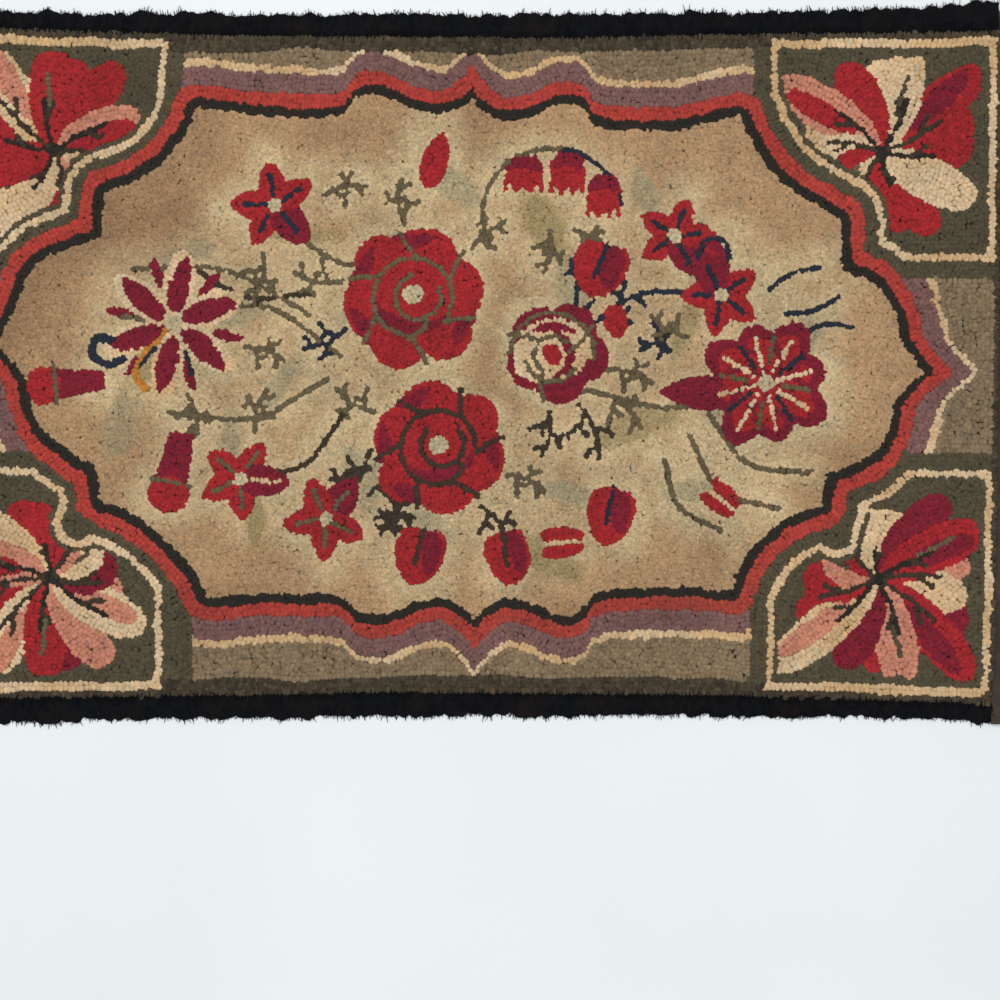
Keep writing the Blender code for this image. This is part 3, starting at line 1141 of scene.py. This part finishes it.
def instancing_tree(name, sizes, build):
    """A node tree that puts build(graph, sizes) on every point, turned and sized by the point's facts."""
    tree = bpy.data.node_groups.new(name, "GeometryNodeTree")
    tree.interface.new_socket("Geometry", in_out="INPUT", socket_type="NodeSocketGeometry")
    tree.interface.new_socket("Geometry", in_out="OUTPUT", socket_type="NodeSocketGeometry")
    for label, kind in sizes.items():
        tree.interface.new_socket(label, in_out="INPUT", socket_type=kind)
    tree.interface.new_socket("Material", in_out="INPUT", socket_type="NodeSocketMaterial")
    graph = Graph(tree)
    given = graph.node("NodeGroupInput")
    facts = {
        fact: graph.node("GeometryNodeInputNamedAttribute", {"data_type": "FLOAT_VECTOR"}, {"Name": fact})
        for fact in ("turn", "size")
    }
    facing = graph.node("FunctionNodeEulerToRotation", {}, {0: facts["turn"]})
    shape = build(graph, {label: given.out(label) for label in sizes})
    placed = graph.node(
        "GeometryNodeInstanceOnPoints",
        {},
        {"Points": given.out("Geometry"), "Instance": shape, "Rotation": facing, "Scale": facts["size"]},
    )
    real = graph.node("GeometryNodeRealizeInstances", {}, {"Geometry": placed})
    soft = graph.node("GeometryNodeSetShadeSmooth", {}, {"Geometry": real})
    finished = graph.node("GeometryNodeSetMaterial", {}, {"Geometry": soft, "Material": given.out("Material")})
    graph.node("NodeGroupOutput", {}, {"Geometry": finished})
    return tree


def grown(name, points, tree, **sizes):
    """The plain mesh that a tree makes on some points."""
    piece = new_piece(name, points)
    modifier = piece.modifiers.new("Instances", "NODES")
    modifier.node_group = tree
    for socket in tree.interface.items_tree:
        if socket.in_out == "INPUT" and socket.name in sizes:
            modifier[socket.identifier] = sizes[socket.name]
    graph = bpy.context.evaluated_depsgraph_get()
    mesh = bpy.data.meshes.new_from_object(piece.evaluated_get(graph), depsgraph=graph)
    piece.modifiers.remove(modifier)
    piece.data = mesh
    bpy.data.meshes.remove(points)
    return piece


def dome(graph, sizes):
    """The visible top of a loop, one metre in radius and in height, standing on its rim."""
    ball = graph.node("GeometryNodeMeshUVSphere", {}, {"Segments": sizes["Sides"], "Rings": 4, "Radius": 1.0})
    height = graph.node("ShaderNodeSeparateXYZ", {}, {0: graph.node("GeometryNodeInputPosition")}).out("Z")
    lower = {"data_type": "FLOAT", "operation": "LESS_THAN"}
    below = graph.node("FunctionNodeCompare", lower, {0: height, 1: -0.01})
    cut = {"Geometry": ball, "Selection": below}
    cap = graph.node("GeometryNodeDeleteGeometry", {"domain": "POINT"}, cut)
    place = graph.node("ShaderNodeSeparateXYZ", {}, {0: graph.node("GeometryNodeInputPosition")})
    fuller = 1.0 + 0.30 * (place.out("Z") + 0.0001) ** 0.5
    sides = {0: place * fuller, 1: place.out("Y") * fuller, 2: place.out("Z")}
    square = graph.node("ShaderNodeCombineXYZ", {}, sides)
    return graph.node("GeometryNodeSetPosition", {}, {"Geometry": cap, "Position": square})


FIELD_LOOP = (3.75, 3.80)  # half a loop's size along and across its row, in the field
LOOP = (4.1, 3.4)  # and elsewhere
FIELD_PARTS = {  # where the three parts of the field start and end
    "field_loops_left": (-999, -140),
    "field_loops_middle": (-140, 130),
    "field_loops_right": (130, 999),
}


def make_pile():
    """Every loop of the pile, in one piece for each family of yarns."""
    loops = hook_loops()
    column, row, heading = loops.T
    x, y = column - HALF_LENGTH, row - HALF_DEPTH
    yarn = chart[row.astype(int), column.astype(int)]
    field = yarn == FIELD
    loose = np.where(field, 0.5, 0.42)
    x = x + loose * rng.normal(0, 1, len(x))
    y = y + loose * rng.normal(0, 1, len(x))
    dye = dye_loops(x, y, yarn)
    real_x, real_y = on_cloth(x, y)
    top = PILE_HEIGHT + rng.normal(0, 0.28, len(x)) + 0.3 * ripple(x, y, 30, 41)
    count = len(x)
    lean = rng.normal(0, 0.13, (count, 2))
    # A loop of the field is a four-sided cap that lies square to its row; the others have six sides, and
    # lie with a corner across the row, which makes the edges of a motif ragged.
    square = np.where(field, math.pi / 4, math.pi / 2)
    twist = np.where(field, 0.35, 0.12) * rng.normal(0, 1, count)
    turn = np.stack([lean[:, 0], lean[:, 1], heading + square + twist], 1)
    along = np.where(field, FIELD_LOOP[0], LOOP[0]) * (1 + rng.normal(0, 0.11, count))
    across = np.where(field, FIELD_LOOP[1], LOOP[1]) * (1 + rng.normal(0, 0.10, count))
    size = np.stack([along, across, top - LOOP_BASE], 1) * MM
    places = np.stack([real_x, real_y, np.full(count, LOOP_BASE)], 1) * MM
    colour = np.concatenate([dye, np.ones((count, 1))], 1)
    tree = instancing_tree("Hooked loops", {"Sides": "NodeSocketInt"}, dome)
    pieces = []
    for name, yarns in PILES.items():
        mine = of_yarns(yarn, yarns)
        if name in FIELD_PARTS:
            low, high = FIELD_PARTS[name]
            mine &= (x >= low) & (x < high)
        points = points_mesh(name, places[mine], turn=turn[mine], size=size[mine], dye=colour[mine])
        material = loop_wool(name.replace("_loops", "_wool"))
        sides = 4 if name.startswith("field") else 6
        pieces.append(grown(name, points, tree, Material=material, Sides=sides))
    return pieces


# ---- Foundation, fringe and tapes


def burlap(name):
    """Plain-woven jute: threads over and under, uneven in thickness and tone."""

    def paint(graph):
        place = place_of(graph)
        across = wave(graph, place, "X", 260.0, 1.2, 2.0)
        along = wave(graph, place, "Y", 260.0, 1.2, 2.0)
        dust = noise(graph, place, 40.0, 3.0)
        weave = across * 0.5 + along * 0.5
        light = dyed(graph, 150, 124, 88)
        colour = light.tinted(opaque(84, 66, 44), (1.1 - weave * (0.5 + 0.9 * dust)).clamped())
        return colour, 0.8 + 0.2 * dust, weave, 0.0006

    return finish(name, 0.1, paint)


def make_foundation():
    """The burlap that the loops are hooked through, one thin closed sheet whose ends rise into the tapes."""
    lines, thickness = 40, 1.2
    made = bmesh.new()
    bmesh.ops.create_grid(made, x_segments=2 * lines, y_segments=lines, size=1.0)
    for vertex in made.verts:
        u, v = vertex.co.x * (HALF_LENGTH + END_HEM), vertex.co.y * (HALF_DEPTH + SIDE_HEM)
        x, y = on_cloth(u, v)
        vertex.co = (float(x) * MM, float(y) * MM, 1.3 * MM if abs(u) > HALF_LENGTH else 0.0)
    lifted = bmesh.ops.extrude_face_region(made, geom=made.faces[:], use_keep_orig=True)["geom"]
    for item in lifted:
        if isinstance(item, bmesh.types.BMVert):
            item.co.z += thickness * MM
    return piece_from(made, "burlap_foundation", burlap("burlap"), smooth_faces=False)


def fringe_wool(name):
    """Soft black wool with blue and brown casts and a little dust on it."""

    def paint(graph):
        place = place_of(graph)
        cast = noise(graph, place, 26.0, 2.0)
        strand = noise(graph, place, 900.0, 2.0)
        dust = noise(graph, place, 300.0, 4.0, 0.7)
        deep = dyed(graph, 12, 13, 18)
        colour = deep.tinted(opaque(21, 17, 15), ((cast - 0.42) * 4.0).clamped())
        colour = colour.tinted(opaque(44, 42, 43), ((dust - 0.62) * 1.8).clamped())
        return colour, 0.85 + 0.15 * strand, strand, 0.0006

    return finish(name, 0.0, paint, 0.1)


def lock(graph, sizes):
    """A lock of wool, one metre long along x and tapering to a blunt tip that bends down."""
    spine = graph.node(
        "GeometryNodeCurvePrimitiveBezierSegment",
        {"mode": "POSITION"},
        {
            "Resolution": 3,
            "Start": (0.0, 0.0, 0.0),
            "Start Handle": (0.35, 0.0, 0.16),
            "End Handle": (0.75, 0.0, 0.0),
            "End": (1.0, 0.0, -0.12),
        },
    )
    share = graph.node("GeometryNodeSplineParameter").out("Factor")
    girth = 0.5 + 0.75 * share - 1.1 * share * share
    ring = {"Resolution": 4, "Radius": sizes["Thickness"]}
    bevel = graph.node("GeometryNodeCurvePrimitiveCircle", {}, ring)
    sweep = {"Curve": spine, "Profile Curve": bevel, "Scale": girth, "Fill Caps": True}
    return graph.node("GeometryNodeCurveToMesh", {}, sweep)


def clumping(x):
    """How much further out the fringe reaches at a place along it, as a share of its length."""
    wide, narrow, fine = ripple(x, 0 * x + 5, 17, 51), ripple(x, 0 * x + 5, 6, 52), ripple(x, 0 * x, 2.4, 56)
    return 0.08 * wide + 0.09 * narrow + 0.05 * fine


def fleece(name, side, start, end, hook_line, reach_line, material):
    """The matted body of a fringe: a lumpy strip with an uneven outer edge, under the loose locks."""
    columns, rows = 520, 9
    made = bmesh.new()
    bmesh.ops.create_grid(made, x_segments=columns, y_segments=rows, size=1.0)
    for vertex in made.verts:
        share = (vertex.co.y + 1) / 2
        x = start + (end - start) * (vertex.co.x + 1) / 2
        root = float(np.interp(x, *hook_line)) + 0.6
        reach = (float(np.interp(x, *reach_line)) - root) * (0.92 + float(clumping(x)))
        vertex.co = (x * MM, side * (root + share * reach) * MM, share)
    lower = made.verts[:]
    lifted = bmesh.ops.extrude_face_region(made, geom=made.faces[:], use_keep_orig=True)["geom"]
    for item in lifted:
        if isinstance(item, bmesh.types.BMVert):
            share, x, y = item.co.z, item.co.x / MM, item.co.y / MM
            swell = 0.9 * float(ripple(x, y, 7, 54)) + 0.6 * float(ripple(x, y, 3, 55))
            item.co.z = (1.6 + 3.2 * (1 - share**2) + swell * (1 - 0.5 * share)) * MM
    for vertex in lower:
        vertex.co.z = 0.3 * MM
    return piece_from(made, name, material)


LOCK_LAYERS = (  # (inset, height, length as a share of the fringe's, spacing), from the lowest up
    (16.0, 1.9, 0.34, 0.9),
    (10.0, 3.4, 0.50, 1.6),
    (1.5, 5.0, 0.50, 1.8),
    (-1.0, 6.6, 0.34, 4.0),
)


def make_fringe(side):
    """A dense fringe of wool locks along the front (-1) or back (1), over their matted body."""
    name = "fringe_front" if side < 0 else "fringe_back"
    reach_line = edge_line(name, 0, side, -1.0)
    hook_line = FRONT if side < 0 else BACK
    low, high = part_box(name)
    start, end = low.x / MM - 1.5, high.x / MM + 1.5
    material = fringe_wool("black fringe wool")
    body = fleece(name + "_fleece", side, start, end, hook_line, reach_line, material)
    places, turns, sizes = [], [], []
    for inset, height, share, spacing in LOCK_LAYERS:
        count = int((end - start) / spacing)
        x = np.clip(np.linspace(start, end, count) + rng.normal(0, 0.6, count), start, end)
        line_root = np.interp(x, *hook_line)
        full = np.interp(x, *reach_line) - line_root
        root = line_root + inset * full / 25 + rng.normal(0, 1.2, count)
        length = full * (share + clumping(x) + rng.normal(0, 0.06, count))
        fan = 0.45 * ripple(x, 0 * x, 9, 53) + rng.normal(0, 0.35, count)
        places.append(np.stack([x, side * root, height + rng.normal(0, 0.3, count)], 1) * MM)
        roll, droop = rng.uniform(-0.5, 0.5, count), np.full(count, 0.05 + 0.012 * height)
        turns.append(np.stack([roll, droop, side * math.pi / 2 + fan], 1))
        sizes.append(np.stack([length, 10 + 0 * length, 10 + 0 * length], 1) * MM)
    facts = {"turn": np.concatenate(turns), "size": np.concatenate(sizes)}
    points = points_mesh(name + "_wool", np.concatenate(places), **facts)
    tree = instancing_tree("Fringe locks", {"Thickness": "NodeSocketFloat"}, lock)
    locks = grown(name + "_locks", points, tree, Material=material, Thickness=0.13)
    for vertex in locks.data.vertices:
        vertex.co.z = max(vertex.co.z, 0.25 * MM)
    return body, locks


def tape_wool(name):
    """Dark brown twill tape, rubbed paler in blotches."""

    def paint(graph):
        place = place_of(graph)
        askew = {"Vector": place, "Rotation": (0.0, 0.0, math.radians(45))}
        slant = graph.node("ShaderNodeMapping", {}, askew)
        twill = wave(graph, slant, "X", 230.0, 0.8, 3.0)
        blotch = noise(graph, place, 60.0, 3.0)
        nap = noise(graph, place, 1400.0, 2.0)
        deep = dyed(graph, 52, 42, 34)
        colour = deep.tinted(opaque(84, 68, 52), (0.5 * twill * nap + 1.4 * (blotch - 0.5)).clamped())
        return colour, 0.75 + 0.25 * nap, 0.7 * twill + 0.3 * nap, 0.0005

    return finish(name, 0.2, paint)


def make_tape(side):
    """The tape folded round the hem at one end."""
    name = "end_tape_right" if side > 0 else "end_tape_left"
    low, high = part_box(name)
    fold_line = edge_line(name, 1, side, -1.0)
    thickness, width = 1.1, 12.9
    half = (high.z / MM - thickness) / 2
    section = [(-width, 0.0)]
    section += [(-half + half * math.sin(a), half - half * math.cos(a)) for a in np.linspace(0, math.pi, 9)]
    section += [(-width + 0.4 * k, 2 * half) for k in (8, 4, 0)]
    made = bmesh.new()
    rings = []
    stations = np.linspace(low.y / MM + 0.4, high.y / MM - 0.4, 241)
    for y in stations:
        fold = np.interp(y, *fold_line) - thickness / 2
        ring = []
        for k, (inwards, height) in enumerate(section):
            cockle = 0.35 * float(ripple(y, 40.0 * side, 9, 61)) if k > 9 else 0.0
            wander = 0.5 * float(ripple(y, 10.0 * side, 14, 62)) if k in (0, len(section) - 1) else 0.0
            out, lift = side * (fold + inwards + wander), height + thickness / 2 + max(cockle, 0)
            ring.append(made.verts.new((out * MM, y * MM, lift * MM)))
        rings.append(ring)
    for one, two in zip(rings, rings[1:]):
        for a, b, c, d in zip(one, one[1:], two[1:], two):
            made.faces.new((a, b, c, d))
    piece = piece_from(made, name + "_twill", tape_wool("brown twill tape"))
    wall = piece.modifiers.new("Thickness", "SOLIDIFY")
    wall.thickness = thickness * MM
    wall.offset = 0.0
    return piece


# ---- Floor, lights and camera


def make_floor():
    def paint(graph):
        place = place_of(graph)
        cloud = noise(graph, place, 2.2, 3.0)
        grain = noise(graph, place, 260.0, 3.0)
        pale = dyed(graph, 230, 232, 232)
        colour = pale.tinted(opaque(217, 221, 222), (cloud * 1.2 - 0.2 + 0.3 * (grain - 0.5)).clamped())
        return colour, 0.85 + 0.1 * grain, grain, 0.0003

    bpy.ops.mesh.primitive_plane_add(size=9.0, location=(0, 0, 0))
    floor = bpy.context.object
    floor.name = "floor"
    floor.data.materials.append(finish("pale floor", 0.0, paint))
    floor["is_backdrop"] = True


def make_light(name, place, size, power):
    """A round lamp that points at the middle of the rug."""
    light = bpy.data.lights.new(name, "AREA")
    light.shape = "DISK"
    light.size = size
    light.energy = power
    holder = bpy.data.objects.new(name, light)
    bpy.context.scene.collection.objects.link(holder)
    holder.location = place
    holder.rotation_euler = (-Vector(place)).to_track_quat("-Z", "Y").to_euler()


def make_studio():
    scene = bpy.context.scene
    scene.view_settings.view_transform = "Standard"
    world = bpy.data.worlds.new("studio")
    scene.world = world
    world.use_nodes = True
    world.node_tree.nodes["Background"].inputs["Color"].default_value = (0.93, 0.97, 1.0, 1.0)
    world.node_tree.nodes["Background"].inputs["Strength"].default_value = 0.72
    make_light("key", (-0.7, 1.0, 2.6), 1.8, 36)
    make_light("fill", (1.4, -1.0, 2.6), 2.4, 16)
    view_centre = Vector((0.034, -0.135, 0.0))
    height = 2.6
    camera = bpy.data.cameras.new("camera")
    camera.sensor_width = 36.0
    camera.lens = camera.sensor_width * (height - 0.007) / 1.0
    holder = bpy.data.objects.new("camera", camera)
    scene.collection.objects.link(holder)
    holder.location = view_centre + Vector((0, 0, height))
    holder.rotation_euler = (0, 0, 0)
    scene.camera = holder


# ---- Assembly


def main():
    make_floor()
    make_studio()
    paint_bouquet()
    bouquet = chart.copy()
    chart[:] = FIELD
    panels = paint_border()
    field = chart == FIELD
    chart[field] = bouquet[field]
    before = chart.copy()
    for spray in SPRAYS:
        leaf_spray(*spray)
    chart[~panels] = before[~panels]
    pile = make_pile()
    foundation = make_foundation()
    fringes = [make_fringe(side) for side in (-1, 1)]
    tapes = [make_tape(side) for side in (1, -1)]
    for piece in (foundation, *pile):
        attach(piece, "root")
    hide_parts("hooked_cloth")
    for pair, node in zip(fringes, ("fringe_front", "fringe_back")):
        for piece in pair:
            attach(piece, "root")
            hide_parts(node)
    for piece, node in zip(tapes, ("end_tape_right", "end_tape_left")):
        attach(piece, "root")
        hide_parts(node)


main()

size_lines = {"cad": [list(corner) for corner in CAD_BOX], "visual": [list(corner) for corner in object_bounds()]}
